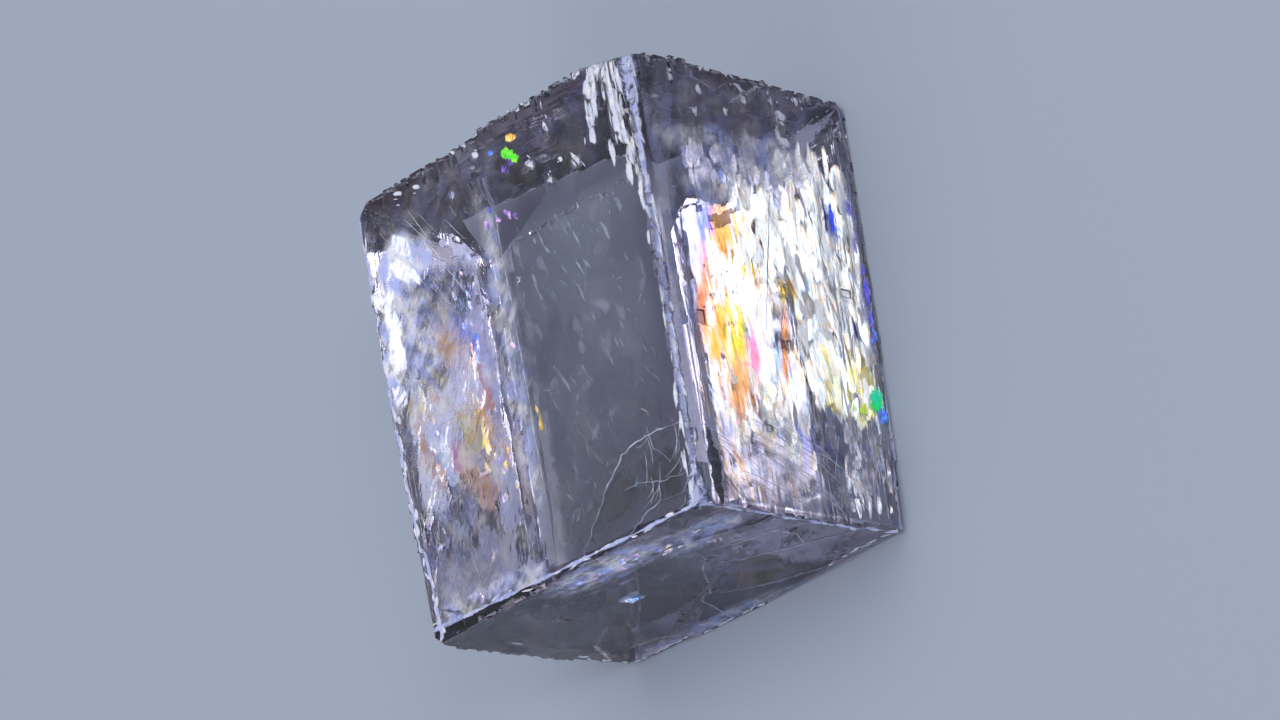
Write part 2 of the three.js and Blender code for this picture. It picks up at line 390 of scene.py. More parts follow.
@material
def clear_calcite(n):
    """The stone: clear, striated along its cleavages, and dull where it is broken."""
    striae = noise(n, attribute(n, "grain", "Vector"), detail=1.5, roughness=0.65)
    height = product(n, product(n, striae, attribute(n, "wavy")), STRIA_HEIGHT)
    bump = n.add("Bump", Strength=1, Distance=1, Height=height)
    rough = math_node(n, "MULTIPLY_ADD", attribute(n, "broken"), 0.3, 0.012)
    n.volume = n.add("VolumeAbsorption", Color=(0.8, 0.785, 0.84, 1), Density=78)
    return principled(
        n, Base_Color=(0.97, 0.965, 1, 1), Roughness=rough, IOR=CALCITE_IOR, Transmission_Weight=1,
        Normal=bump.outputs[0],
    )


@material
def bruised_calcite(n):
    """Crushed calcite: opaque, pale blue-grey and mottled."""
    mottle = noise(n, millimetres(n), scale=1.6, detail=4, roughness=0.65)
    fine = noise(n, millimetres(n, turn=(30, 20, 0)), scale=7, detail=3)
    pale = mixed(n, ramp_between(n, mottle, 0.35, 0.65), (0.7, 0.76, 0.94, 1), (0.93, 0.96, 1, 1))
    bump = n.add("Bump", Strength=0.8, Distance=0.06 * MM, Height=fine)
    return principled(n, Base_Color=tinted(n, pale), Roughness=0.55, Normal=bump.outputs[0])


@material
def crack_calcite(n):
    """The walls of fine cracks and scratches: pale and uneven."""
    mottle = noise(n, millimetres(n), scale=0.9, detail=3)
    pale = mixed(n, ramp_between(n, mottle, 0.35, 0.65), (0.42, 0.45, 0.54, 1), (0.85, 0.9, 1, 1))
    return principled(n, Base_Color=tinted(n, pale), Roughness=0.4)


def film_colours(n, pale=0):
    """The colours of a film of air in streaks, part of the way to white, times the piece's own tint."""
    streaks = noise(n, millimetres(n, (0.5, 2.8, 2.8), (0, 12, 0)), detail=3, roughness=0.7)
    ramp = n.add("ValToRGB", Fac=streaks)
    stops = ramp.color_ramp.elements
    while len(stops) < len(FILM_STOPS):
        stops.new(0.5)
    for stop, (place, colour) in zip(stops, FILM_STOPS):
        stop.position = place
        stop.color = colour
    return tinted(n, mixed(n, pale, ramp.outputs["Color"], (1, 1, 1, 1)))


@material
def film_calcite(n):
    """A fracture that holds a film of air: it colours what shines through it, and in one place dims it as
    painted shade.
    """
    return principled(n, Base_Color=film_colours(n), Roughness=0, IOR=1, Transmission_Weight=1)


@material
def mirror_calcite(n):
    """The wall of a crack that holds air: it mirrors the light, in the colours of the film."""
    waves = noise(n, millimetres(n, (0.35, 2.2, 2.2), (0, 0, -8)), detail=2, roughness=0.6)
    bump = n.add("Bump", Strength=1, Distance=1, Height=product(n, waves, CRACK_WAVE_HEIGHT))
    return principled(
        n, Base_Color=film_colours(n, pale=0.55), Metallic=1, Roughness=0.25, Normal=bump.outputs[0],
        Alpha=soft_edges(n),
    )


@material
def smoky_calcite(n):
    """A sheet that dims what shines through it, unevenly: painted shade."""
    cloud = noise(n, millimetres(n, (0.35, 0.5, 0.5), (0, 30, 0)), detail=4, roughness=0.6)
    shade = mixed(n, ramp_between(n, cloud, 0.38, 0.62), (0.14, 0.1, 0.13, 1), (0.52, 0.47, 0.53, 1))
    return principled(n, Base_Color=shade, Roughness=0, IOR=1, Transmission_Weight=1)


@material
def flake_calcite(n):
    """Small torn flakes in an interference colour, that also glow by emission: painted light."""
    tint = attribute(n, "tint", "Color")
    streaks = noise(n, millimetres(n, (1.1, 3.2, 3.2), (0, 0, 25)), detail=3, roughness=0.6)
    torn = ramp_between(n, streaks, 0.36, 0.56, 0.1, 1)
    return principled(
        n, Base_Color=tint, Roughness=0.3, Metallic=0.35, Emission_Color=tint, Emission_Strength=0.4,
        Alpha=product(n, soft_edges(n), torn),
    )


@material
def haze_calcite(n):
    """A faint cloud in the stone, with small smears in it. Its tint carries painted shade."""
    cloud = noise(n, millimetres(n, (0.22, 0.3, 0.3), (0, 0, 30)), detail=3)
    streaks = noise(n, millimetres(n, (0.5, 2.4, 2.4), (0, 0, -20)), detail=2)
    thick = ramp_between(n, cloud, 0.35, 0.75, 0.05, 0.3)
    spots = ramp_between(n, streaks, 0.6, 0.74, 0, 0.6)
    alpha = product(n, math_node(n, "ADD", thick, spots), attribute(n, "cover"))
    return principled(n, Base_Color=attribute(n, "tint", "Color"), Roughness=0.7, Alpha=alpha)


@material
def frost_calcite(n):
    """Where a face is dulled by fine marks: pale lilac clouds, thicker and thinner."""
    mottle = noise(n, millimetres(n, (0.5, 1.1, 1.1), (0, 0, 35)), detail=5, roughness=0.64)
    thick = ramp_between(n, mottle, 0.36, 0.64, 0.25, 1)
    hue = noise(n, millimetres(n, (0.5, 0.9, 0.9), (20, 0, -30)), detail=3)
    lilac = mixed(n, ramp_between(n, hue, 0.4, 0.62), (0.5, 0.58, 0.98, 1), (0.9, 0.92, 1, 1))
    return principled(n, Base_Color=lilac, Roughness=0.5, Alpha=product(n, thick, attribute(n, "cover")))


@material
def smear_calcite(n):
    """Faint pale smears on the surface."""
    return principled(n, Base_Color=(0.62, 0.68, 0.88, 1), Roughness=0.6, Alpha=soft_edges(n))


@material
def dark_gap(n):
    """Gaps that the light doesn't reach, painted near-black: painted shade."""
    mottle = noise(n, millimetres(n), scale=2.5, detail=3)
    shade = mixed(n, ramp_between(n, mottle, 0.45, 0.7), (0.012, 0.012, 0.018, 1), (0.12, 0.12, 0.15, 1))
    return principled(n, Base_Color=shade, Roughness=0.25)


# The tints of pieces.
PLAIN = (1, 1, 1, 1)
LAVENDER = (0.66, 0.7, 0.95, 1)
HAIRLINE = (0.72, 0.75, 0.85, 1)

WHITE = (1, 1, 1)
GREEN = (0.02, 0.8, 0.06)
LIME = (0.45, 0.9, 0.04)
AMBER = (0.95, 0.5, 0.08)
GOLD = (0.95, 0.72, 0.22)
VIOLET = (0.3, 0.16, 0.75)
BLUE = (0.06, 0.14, 1)
SKY = (0.2, 0.5, 1)
TEAL = (0.02, 0.7, 0.45)
PALE = (0.8, 0.84, 1)
ROSE = (0.9, 0.55, 0.72)
DUSK = (0.14, 0.09, 0.32)
NAVY = (0.03, 0.06, 0.55)
BRONZE = (0.55, 0.38, 0.08)
CREAM = (0.9, 0.8, 0.7)

WHITES = [WHITE, WHITE, (1, 0.97, 0.88), (0.85, 0.92, 1)]
LILACS = [(0.9, 0.88, 1), (0.75, 0.74, 0.95), (0.62, 0.58, 0.75)]
CREAMS = [(1, 0.92, 0.8), (0.95, 0.85, 0.62), (0.85, 0.86, 1), WHITE]
YELLOWS = [(1, 0.9, 0.22), (1, 1, 0.7), (1, 1, 0.85), (1, 0.86, 0.32)]
SILVERS = [(0.3, 0.31, 0.38), (0.5, 0.52, 0.6), (0.8, 0.8, 0.85)]


# -------- the crystal

# How wavy each face is. The three that turn to the camera are the cleanest.
WAVY = {"top": 0.25, "front": 0.3, "left": 0.6, "bottom": 1, "back": 1, "right": 0.8}
WAVY_BREAK = 0.6

# The grain of each face: its turn from the face's long edge in degrees, and how fine it is along and across.
GRAIN = {
    "top": (8, 0.3, 1.6),
    "front": (0, 0.3, 1.6),
    "left": (15, 0.4, 1.2),
    "bottom": (0, 0.32, 1.4),
    "back": (38, 0.5, 1.3),
    "right": (10, 0.4, 1.4),
}

CELL = 0.5  # the usual width of the cells that a face is cut into, in millimetres
CELL_SEED = 2
PAST_FACE = 4  # how far beyond the ideal block the cuts go on
WELD = 1e-7  # metres
FLUSH = radians(0.2)
FLAT = cos(radians(2.5))  # a polygon that leans less than this belongs to the face
SHARP = radians(9)
RIM_FADE = (0.2, 2.2)  # the relief grows from nothing to its full depth at these distances from an edge

# The depths of a face's relief, in millimetres.
WAVE = 0.022
SWELL = 0.05
STEP = 0.02
STEPS = 5


def grain_of(face, place):
    """A point's places along and across the grain of its face, in millimetres."""
    normal = normal_of(face)
    edge = BACK if face in ("left", "right") else ALONG
    way = Matrix.Rotation(radians(GRAIN[face][0]), 3, normal) @ edge
    return place.dot(way), place.dot(normal.cross(way))


def cut_in_cells(bm):
    """Cuts every face along the cleavages into uneven cells, so that it can take a relief."""
    draw = random.Random(CELL_SEED)
    for face in ("top", "front", "left"):
        normal = normal_of(face)
        out = FACES[face][2]
        past = 2 * out.dot(normal) + PAST_FACE
        place = CELL * 0.6
        while place < past:
            geometry = bm.verts[:] + bm.edges[:] + bm.faces[:]
            at = (CENTRE + out - normal * place) * MM
            bmesh.ops.bisect_plane(bm, geom=geometry, dist=WELD, plane_co=at, plane_no=normal)
            place += CELL * draw.uniform(0.65, 1.35)


def side_of(normal):
    """The face that a polygon belongs to, or None for a break."""
    for face in FACES:
        if normal.dot(normal_of(face)) > FLAT:
            return face
    return None


def relief(face, place):
    """How far a point of a face lies below the flat, in millimetres: waves, swells and low steps."""
    u, v = grain_of(face, place)
    layer = layer_of(face)
    waves = 0.5 + 0.5 * ripple(u, v, 0.3, 0.8, layer)
    swell = 0.5 + 0.5 * ripple(u, v, 0.09, 0.14, layer + 9)
    steps = floor(ripple(u, v, 0.13, 0.33, layer + 5) * STEPS) / STEPS + 0.6
    return WAVE * waves + SWELL * swell + STEP * steps


def edge_distance(face, place):
    """How far a point of a face is from the nearest of the face's edges."""
    others = [other for other in FACES if abs(normal_of(other).dot(normal_of(face))) < 0.9]
    return min((CENTRE + FACES[other][2] - place).dot(normal_of(other)) for other in others)


def lower_faces(bm):
    """Gives each face its relief, but leaves its rim, the breaks and the edges where they are."""
    sides = {polygon: side_of(polygon.normal) for polygon in bm.faces}
    for vertex in bm.verts:
        around = {sides[polygon] for polygon in vertex.link_faces}
        if len(around) != 1 or None in around:
            continue
        face = around.pop()
        place = vertex.co / MM
        fade = smooth(edge_distance(face, place), *RIM_FADE)
        vertex.co -= normal_of(face) * (relief(face, place) * WAVY[face] * fade * MM)


def write_grain(mesh):
    """Gives the material each polygon's waviness, whether it is a break, and the way of its grain."""
    wavy = mesh.attributes.new("wavy", "FLOAT", "FACE")
    broken = mesh.attributes.new("broken", "FLOAT", "FACE")
    grain = mesh.attributes.new("grain", "FLOAT_VECTOR", "CORNER")
    for polygon in mesh.polygons:
        polygon.use_smooth = True
        face = side_of(polygon.normal)
        wavy.data[polygon.index].value = WAVY[face] if face else WAVY_BREAK
        broken.data[polygon.index].value = 0 if face else 1
        for corner in polygon.loop_indices:
            place = mesh.vertices[mesh.loops[corner].vertex_index].co / MM
            if face:
                u, v = grain_of(face, place)
                place = Vector((u * GRAIN[face][1], v * GRAIN[face][2], 10 * layer_of(face)))
            grain.data[corner].vector = place


def make_crystal():
    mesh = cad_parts["calcite_rhomb"].data.copy()
    mesh.name = "crystal"
    bm = bmesh.new()
    bm.from_mesh(mesh)
    bmesh.ops.remove_doubles(bm, verts=bm.verts, dist=WELD)
    bmesh.ops.dissolve_limit(bm, angle_limit=FLUSH, verts=bm.verts, edges=bm.edges)
    cut_in_cells(bm)
    lower_faces(bm)
    bmesh.ops.triangulate(bm, faces=bm.faces)
    bm.to_mesh(mesh)
    bm.free()
    write_grain(mesh)
    mesh.set_sharp_from_angle(angle=SHARP)
    crystal = add_object("crystal", mesh)
    mesh.materials.clear()
    mesh.materials.append(clear_calcite())
    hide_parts("calcite_rhomb")
    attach(crystal, "root")
    return mesh


# -------- how pieces are gathered

LOWEST = -0.06  # pieces stop here, just clear of the floor


def make_piece(name, vertices, polygons, made, soft=False, **points):
    """A piece from vertices in millimetres. points holds attributes, each with one value a vertex."""
    mesh = bpy.data.meshes.new(name)
    mesh.from_pydata([Vector((v.x, v.y, max(v.z, LOWEST))) * MM for v in vertices], [], polygons)
    for key, values in points.items():
        is_colour = isinstance(values[0], tuple)
        layer = mesh.attributes.new(key, "FLOAT_COLOR" if is_colour else "FLOAT", "POINT")
        for item, value in zip(layer.data, values):
            setattr(item, "color" if is_colour else "value", value)
    for polygon in mesh.polygons:
        polygon.use_smooth = soft
    mesh.materials.append(made)
    piece = add_object(name, mesh)
    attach(piece, "root")


class Gathered:
    """What one piece is made of, as it is gathered."""

    SOFT = False

    def __init__(self, seed):
        self.random = random.Random(seed)
        self.vertices = []
        self.polygons = []
        self.tints = []

    def make(self, name, made, **points):
        make_piece(name, self.vertices, self.polygons, made, self.SOFT, tint=self.tints, **points)


class Patches(Gathered):
    """Crushed patches: low lumps with ragged outlines set into the surface, and bands of them."""

    SOFT = True
    RINGS = (1, 0.72, 0.4)
    RIM_HEIGHT = -0.015
    NEAR = 0.8
    EDGE_REACH = 2.5
    BAND_STEP = 0.12
    BAND_SINK = 0.12

    def __init__(self, surface, seed):
        super().__init__(seed)
        self.surface = surface

    def near(self, centre, spot, normal):
        """The surface at centre + spot, or as far that way as the stone goes."""
        for part in (1, 0.75, 0.5, 0.25, 0):
            found = self.surface.under(centre + spot * part, normal, self.NEAR)
            if found is not None:
                return found
        return centre

    def add(self, centre, normal, way, length, width, rise, sink=0.08):
        """length runs along way and width across it. rise and sink are its height and its root's depth."""
        across = normal.cross(way).normalized()
        way = across.cross(normal)
        count = 8 + int(5 * length)
        phase = self.random.uniform(0, 50)
        start = len(self.vertices)
        for ring in self.RINGS:
            for i in range(count):
                angle = 2 * pi * i / count
                ragged = 1 + 0.5 * ripple(cos(angle), sin(angle), length, 1, phase)
                reach = ring * ragged * self.random.uniform(0.88, 1.12)
                along = cos(angle) * length / 2 * reach
                aside = sin(angle) * width / 2 * reach
                found = self.near(centre, way * along + across * aside, normal)
                height = self.RIM_HEIGHT if ring == 1 else rise * self.random.uniform(0.3, 1.2)
                self.vertices.append(found + normal * height)
        found = self.near(centre, Vector((0, 0, 0)), normal)
        top = len(self.vertices)
        self.vertices += [found + normal * rise, found - normal * sink]
        last = start + (len(self.RINGS) - 1) * count
        for i in range(count):
            j = (i + 1) % count
            for a in range(start, last, count):
                b = a + count
                self.polygons.append((a + i, a + j, b + j, b + i))
            self.polygons.append((last + i, last + j, top))
            self.polygons.append((start + j, start + i, top + 1))
        self.tints += [PLAIN] * (len(self.vertices) - start)

    def add_on(self, face, u, v, length, width, turn, rise):
        normal = normal_of(face)
        found = self.surface.under(place_on(face, u, v), normal)
        if found is not None:
            way = Matrix.Rotation(radians(turn), 3, normal) @ FACES[face][0]
            self.add(found, normal, way, length, width, rise)

    def band(self, start, end, normal, half_width):
        """A ragged band along an edge. half_width gives its reach to either side at a part of its length."""
        across = normal.cross((end - start).normalized())
        count = round((end - start).length / self.BAND_STEP)
        first = len(self.vertices)
        for i in range(count + 1):
            middle = self.surface.under(start.lerp(end, i / count), normal, self.EDGE_REACH)
            if middle is None:
                continue
            left = -half_width(i / count) * self.random.uniform(0.65, 1.35)
            right = half_width(i / count) * self.random.uniform(0.65, 1.35)
            rim = self.RIM_HEIGHT
            for part, height in ((left, rim), (left / 2, 0.02), (0, 0.03), (right / 2, 0.02), (right, rim)):
                self.vertices.append(self.near(middle, across * part, normal) + normal * height)
            self.vertices.append(middle - normal * self.BAND_SINK)
        last = len(self.vertices) - 6
        for a in range(first, last, 6):
            for k in range(6):
                m = (k + 1) % 6
                self.polygons.append((a + m, a + k, a + 6 + k, a + 6 + m))
        self.polygons.append(tuple(range(first, first + 6)))
        self.polygons.append(tuple(reversed(range(last, last + 6))))
        self.tints += [LAVENDER] * (len(self.vertices) - first)


class Threads(Gathered):
    """Thin closed threads that follow lines, for cracks, scratches and narrow gaps."""

    def add(self, line, normal, width, deep=None, wander=0, step=0.4, tint=PLAIN):
        """line is a list of points in millimetres. The thread is widest in its middle."""
        points = []
        for a, b in zip(line, line[1:]):
            pieces = max(1, round((b - a).length / step))
            points += [a.lerp(b, i / pieces) for i in range(pieces)]
        points.append(line[-1])
        start = len(self.vertices)
        last = len(points) - 1
        for i, point in enumerate(points):
            ahead = points[min(i + 1, last)] - points[max(i - 1, 0)]
            across = normal.cross(ahead).normalized()
            taper = 0.25 + 0.75 * sin(pi * clamp(i / last, 0.04, 0.96))
            half = width / 2 * taper * self.random.uniform(0.6, 1.4)
            point = point + across * self.random.uniform(-wander, wander)
            self.vertices += [point + across * half, point - across * half, point - normal * (deep or width)]
            self.tints += [tint] * 3
        end = start + 3 * last
        for a in range(start, end, 3):
            for k in range(3):
                m = (k + 1) % 3
                self.polygons.append((a + k, a + m, a + 3 + m, a + 3 + k))
        self.polygons += [(start + 2, start + 1, start), (end, end + 1, end + 2)]


class Shards(Gathered):
    """Thin angular leaves that fade out at their rims."""

    CORE = 0.55  # the part of a leaf, from its middle, that doesn't fade

    def __init__(self, seed):
        super().__init__(seed)
        self.covers = []

    def add(self, centre, plane, way, length, width, colours, cover=1, corners=8):
        """plane is the leaf's normal. length runs along way, in millimetres, and width across it."""
        side = plane.cross(way).normalized()
        way = side.cross(plane)
        start = len(self.vertices)
        rim = []
        for k in range(corners):
            angle = 2 * pi * (k + self.random.uniform(-0.35, 0.35)) / corners
            reach = self.random.uniform(0.75, 1.15)
            spot = way * (cos(angle) * length / 2) + side * (sin(angle) * width / 2)
            rim.append(spot * reach)
        self.vertices.append(centre)
        self.vertices += [centre + spot * part for part in (self.CORE, 1) for spot in rim]
        for k in range(corners):
            a, b = start + 1 + k, start + 1 + (k + 1) % corners
            self.polygons += [(start, a, b), (a, a + corners, b + corners, b)]
        self.tints += [(*self.random.choice(colours), 1) for _ in range(2 * corners + 1)]
        self.covers += [cover] * (corners + 1) + [0] * corners

    def make(self, name, made):
        super().make(name, made, cover=self.covers)


# -------- crushed edges and corner

# Bruised edges: the two faces, how many patches, their usual length and width, and how far they stray.
BRUISED_EDGES = [
    ("top", "front", 60, 1.6, 0.28, 0.22),
    ("top", "left", 20, 0.8, 0.2, 0.12),
    ("front", "left", 18, 0.8, 0.2, 0.1),
    ("top", "right", 46, 0.5, 0.2, 0.1),
    ("front", "right", 40, 0.5, 0.22, 0.1),
    ("top", "back", 60, 0.9, 0.2, 0.1),
    ("front", "bottom", 40, 0.9, 0.14, 0.05),
    ("left", "bottom", 30, 0.8, 0.14, 0.05),
    ("left", "back", 20, 0.8, 0.12, 0.05),
    ("right", "back", 24, 0.5, 0.1, 0.05),
    ("right", "bottom", 26, 0.5, 0.1, 0.05),
]
THIN_BANDS = [("top", "left"), ("front", "left"), ("top", "back"), ("front", "bottom")]

# The crushed corner: patches on the top and front by place, length, width and turn.
CRUSHED = {
    "top": [
        (15.6, -10.2, 2.2, 0.8, -4), (15.2, -11.2, 2.6, 0.5, 0), (14.9, -11.9, 3, 0.45, 3),
        (14.6, -9.6, 1.6, 0.6, -8), (13.6, -9.9, 2.6, 0.55, -3), (12.4, -9.4, 1.9, 0.6, -5),
        (11.2, -9.3, 1.2, 0.45, -8), (13.5, -11.3, 3, 0.45, 2), (12.3, -11.7, 3.2, 0.5, 2),
        (11.2, -11.5, 1.8, 0.5, 6), (10.2, -11.9, 2, 0.7, 0), (9.4, -10.7, 1.7, 0.4, 4),
        (8.9, -12.2, 1.8, 0.5, 0), (7.6, -11.9, 1.9, 0.4, 5), (13.9, -12.3, 2.2, 0.35, 0),
        (16, -8.8, 0.9, 0.5, -20), (13.6, -5.4, 0.8, 0.25, 20), (11.8, -3.4, 0.9, 0.3, 40),
        (10.4, -7.5, 1.1, 0.28, 30), (10, -5, 0.5, 0.3, 10), (11, -6.2, 0.4, 0.2, 50),
        (14.5, 1.2, 0.6, 0.35, 70), (15, 8.7, 0.8, 0.25, 80), (14.7, 6.9, 0.7, 0.25, 75),
        (15.6, 3.2, 0.5, 0.2, 60),
    ],
    "front": [
        (15, -0.2, 0.9, 0.45, 40), (14, 3.8, 0.7, 0.3, 20), (15.9, 3, 0.5, 0.4, 0),
        (14.6, 6.2, 0.8, 0.25, 15), (13.6, -3.6, 1, 0.5, 55), (14.6, -3, 0.6, 0.4, 30),
        (14.1, -0.4, 0.7, 0.25, 10), (12.1, -3.1, 1.3, 0.2, 5), (12.4, 4.4, 0.6, 0.25, 10),
        (14.9, -5.3, 0.6, 0.3, 20), (11.6, -3.6, 0.9, 0.5, 60), (12.9, 1.6, 0.5, 0.2, 0),
        (15.7, 7.9, 0.9, 0.3, 5),
    ],
}
CRUMBS = 3  # small patches scattered about each of them


def central_width(part):
    """Half the width of the bruise on the central edge, from the blunt corner to the crushed one."""
    blunt = 1 - smooth(part, 0, 0.1)
    crushed = smooth(part, 0.8, 1)
    return 0.26 + 0.14 * ripple(part, 0.5, 40, 1, 0.5) + 0.55 * blunt + 0.45 * crushed


def thin_width(part):
    return 0.09 + 0.06 * sin(47 * part)


def bruises(surface):
    patches = Patches(surface, 11)
    draw = patches.random
    patches.band(*edge_line("top", "front"), central_width)
    for pair in THIN_BANDS:
        patches.band(*edge_line(*pair), thin_width)
    for first, second, count, length, width, stray in BRUISED_EDGES:
        start, end, normal = edge_line(first, second)
        way = (end - start).normalized()
        across = normal.cross(way)
        for i in range(count):
            centre = start.lerp(end, (i + draw.random()) / count)
            centre += across * draw.gauss(0, stray)
            found = surface.under(centre, normal, patches.EDGE_REACH)
            if found is None:
                continue
            long = length * draw.uniform(0.5, 1.5)
            turn = Matrix.Rotation(draw.gauss(0, 0.15), 3, normal)
            wide = width * draw.uniform(0.5, 1.5)
            patches.add(found, normal, turn @ way, long, wide, rise=0.018, sink=0.1)
    for face, places in CRUSHED.items():
        for u, v, length, width, turn in places:
            patches.add_on(face, u, v, length * 1.1, width * 1.35, turn + draw.uniform(-6, 6), rise=0.03)
            for _ in range(CRUMBS):
                near_u = u + draw.gauss(0, 0.4) * length
                near_v = v + draw.gauss(0, 0.7) * width
                patches.add_on(face, near_u, near_v, length * 0.5, width * 0.4, turn, rise=0.02)
    patches.make("bruises", bruised_calcite())


# -------- cracks and scratches

# What the measures and tints of scratches are drawn from.

def even(low, high):
    return lambda draw: draw.uniform(low, high)


def about(middle, spread):
    return lambda draw: draw.gauss(middle, spread)


def glitter(draw):
    return draw.choice((PLAIN, PLAIN, (0.75, 0.8, 1, 1), (1, 0.85, 0.5, 1), (0.9, 0.7, 0.95, 1)))


def faint_tint(draw):
    return (*(draw.uniform(0.5, 1) for _ in range(3)), 1)


# Cracks near the blunt corner and on the left-hand face: face, width and the places they run through.
CRACKS = [
    ("top", 0.1, [(-9.9, -12.3), (-9.8, -10), (-9.8, -8.7), (-10.2, -6.9), (-11.4, -5.5), (-13, -4.2),
                  (-15.4, -2.1)]),
    ("top", 0.08, [(-14.6, -12.4), (-14.3, -9.4), (-14.6, -8.4), (-15, -7.5), (-15.6, -6.4)]),
    ("top", 0.06, [(-13.4, -12.2), (-13.1, -9.8), (-12.5, -7.9), (-12.6, -6.6)]),
    ("top", 0.05, [(-12.1, -10.9), (-10.8, -9.7), (-9.2, -9.4)]),
    ("left", 0.12, [(4.6, -6.6), (1.5, -5.2), (0.6, -3.9), (-3.4, -0.8), (-4.2, 0.9), (-9.3, 3.1)]),
    ("left", 0.08, [(0.4, -5.2), (-1, -5.8), (-2.9, -8.6), (-3.7, -10.1), (-5.4, -12.5)]),
    ("left", 0.07, [(2.6, -6.7), (1.4, -8.7), (0.9, -10.6), (-0.4, -12.3)]),
    ("left", 0.06, [(-4.5, -0.5), (-6.8, -2.7), (-8.3, -6.3)]),
]
CRACK_LIFT = 0.012

SCRATCH_LIFT = 0.045  # scratches lie just over the frost
SCRATCH_POINTS = 7

# The double line on the top is two rows of short dashes: each row's place across the face and its width.
DOUBLE_LINE = [(0.25, 0.07), (0.85, 0.05)]
DASHES = 14
FIRST_DASH = 9.3
DASH_STEP = 1.38

# Scratches by group: how many, the face, and for each scratch its middle along and across the face, its turn
# in degrees from the face's first way, its length, width, bend and tint.
SCRATCHES = [
    # the hatch on the top, near its far left
    (30, "top", even(5.5, 12.5), even(3.6, 10.6), about(31, 4), even(1, 3.2), 0.035, 0, PLAIN),
    # the fan low on the front
    (26, "front", about(-12, 1.6), about(1.6, 2.6), about(62, 7), even(2, 7), 0.04, 0.3, PLAIN),
    # marks along the grain of both faces
    (60, "front", even(-15, 9), even(-8.5, 6), about(0, 12), even(0.8, 3.5), 0.03, 0, PLAIN),
    (110, "front", even(-14, 10), even(-9.4, -5.2), about(0, 5), even(0.6, 3.2), even(0.03, 0.1), 0, glitter),
    (60, "top", even(-14, 12), even(0.5, 12), about(0, 10), even(0.6, 2.6), 0.03, 0, PLAIN),
    # the double line
    *(
        (1, "top", FIRST_DASH - DASH_STEP * k, about(v, 0.04), about(0, 2), even(0.9, 1.7), width, 0, PLAIN)
        for v, width in DOUBLE_LINE
        for k in range(DASHES)
    ),
    # specks and short marks between the central edge and the double line
    (60, "top", even(-13, 8), even(-11.5, 0), about(15, 30), even(0.15, 1), even(0.02, 0.05), 0, faint_tint),
    # hairlines that run from the blunt corner
    (16, "top", even(-15.2, -10), even(-12.4, -8), about(-28, 22), even(0.8, 3.2), even(0.02, 0.04), 0.2,
     PLAIN),
]


def hairline_cracks(surface):
    threads = Threads(5)
    for face, width, places in CRACKS:
        line = [surface.on(face, u, v, -CRACK_LIFT) for u, v in places]
        threads.add(line, normal_of(face), 0.8 * width, deep=0.3, wander=0.09, tint=HAIRLINE)
    threads.make("hairline_cracks", crack_calcite())


def scratch_line(surface, face, u, v, turn, length, bend):
    """The points of a scratch: straight, or bowed to one side by bend."""
    angle = radians(turn)
    line = []
    for k in range(SCRATCH_POINTS):
        t = k / (SCRATCH_POINTS - 1) - 0.5
        du = cos(angle) * t * length - sin(angle) * bend * (t * t - 0.25) * 4
        dv = sin(angle) * t * length + cos(angle) * bend * (t * t - 0.25) * 4
        line.append(surface.on(face, u + du, v + dv, -SCRATCH_LIFT))
    return line


def scratches(surface):
    threads = Threads(9)
    for count, face, *spreads, bend, tint in SCRATCHES:
        for _ in range(count):
            colour, u, v, turn, length, width = (
                spread(threads.random) if callable(spread) else spread for spread in (tint, *spreads)
            )
            line = scratch_line(surface, face, u, v, turn, length, bend)
            threads.add(line, normal_of(face), width, wander=0.01, step=0.8, tint=colour)
    threads.make("scratches", crack_calcite())


# -------- inside the stone

# Colours that a film of air gives, by place on the front face: along, up, half-lengths and the colour.
GLINTS = [
    (4.6, 3.2, 2.6, 1.3, (1, 0.55, 0.15)), (3.4, 1, 2, 0.8, (1, 0.82, 0.15)),
    (4, 5.4, 2.6, 0.9, (0.25, 0.35, 1)), (7.5, 5.2, 1.6, 0.8, (0.55, 0.75, 1)),
    (-1.2, 6, 2.8, 0.6, (1, 0.4, 0.2)), (-2.8, 4.8, 2.4, 0.9, (1, 0.6, 0.12)),
    (-4.2, 3.4, 2.6, 0.8, (1, 0.85, 0.1)), (-5, 2.2, 2.4, 0.5, (1, 0.35, 0.55)),
    (-7.4, 3.8, 2, 1, (1, 0.55, 0.2)), (-3.8, -0.9, 2.8, 0.35, (1, 0.45, 0.1)),
    (-4.4, -0.1, 2.4, 0.3, (0.65, 0.85, 1)), (0.8, -2, 0.8, 0.7, (1, 0.8, 0.2)),
    (-2.5, -6.6, 1.5, 0.9, (1, 0.85, 0.15)), (-6.8, -5.6, 0.8, 2, (1, 0.95, 0.3)),
    (6.8, -6.9, 1.7, 0.3, (0.05, 0.1, 0.75)), (9.2, -2.6, 1.3, 2.2, (0.75, 0.8, 1)),
    (9.8, 1.6, 1.2, 1.6, (0.45, 0.5, 1)), (1, -8.9, 3.2, 0.5, (0.35, 0.25, 1)),
    (4.5, -8.7, 2.2, 0.5, (1, 0.85, 0.35)), (-6.2, -8.9, 1.4, 0.7, (0.05, 0.85, 0.45)),
    # On the next line, the pale lilac colour at 7.5 up only dims what shines through: painted shade.
    (-9.6, -2.4, 1.6, 1.8, (0.55, 0.55, 0.85)), (0.5, 7.5, 9, 1.1, (0.8, 0.78, 0.95)),
    (-9, -5.5, 1.5, 1.6, (0.6, 0.58, 0.7)),
]
FILM = ((-15, -9.3), (11.5, 7.4), 0.2)  # from, to and the size of a cell
FILM_DEPTH = 1.1
FILM_SWAY = 0.25
DULL_FILM = Vector((0.34, 0.32, 0.38))  # towards its left
GLINT_SLANT = 0.22
GLINT_REACH = 1.25
GLINT_STRENGTH = 0.55
GLINT_DEPTH = 2.2  # the power that deepens a glint's colour


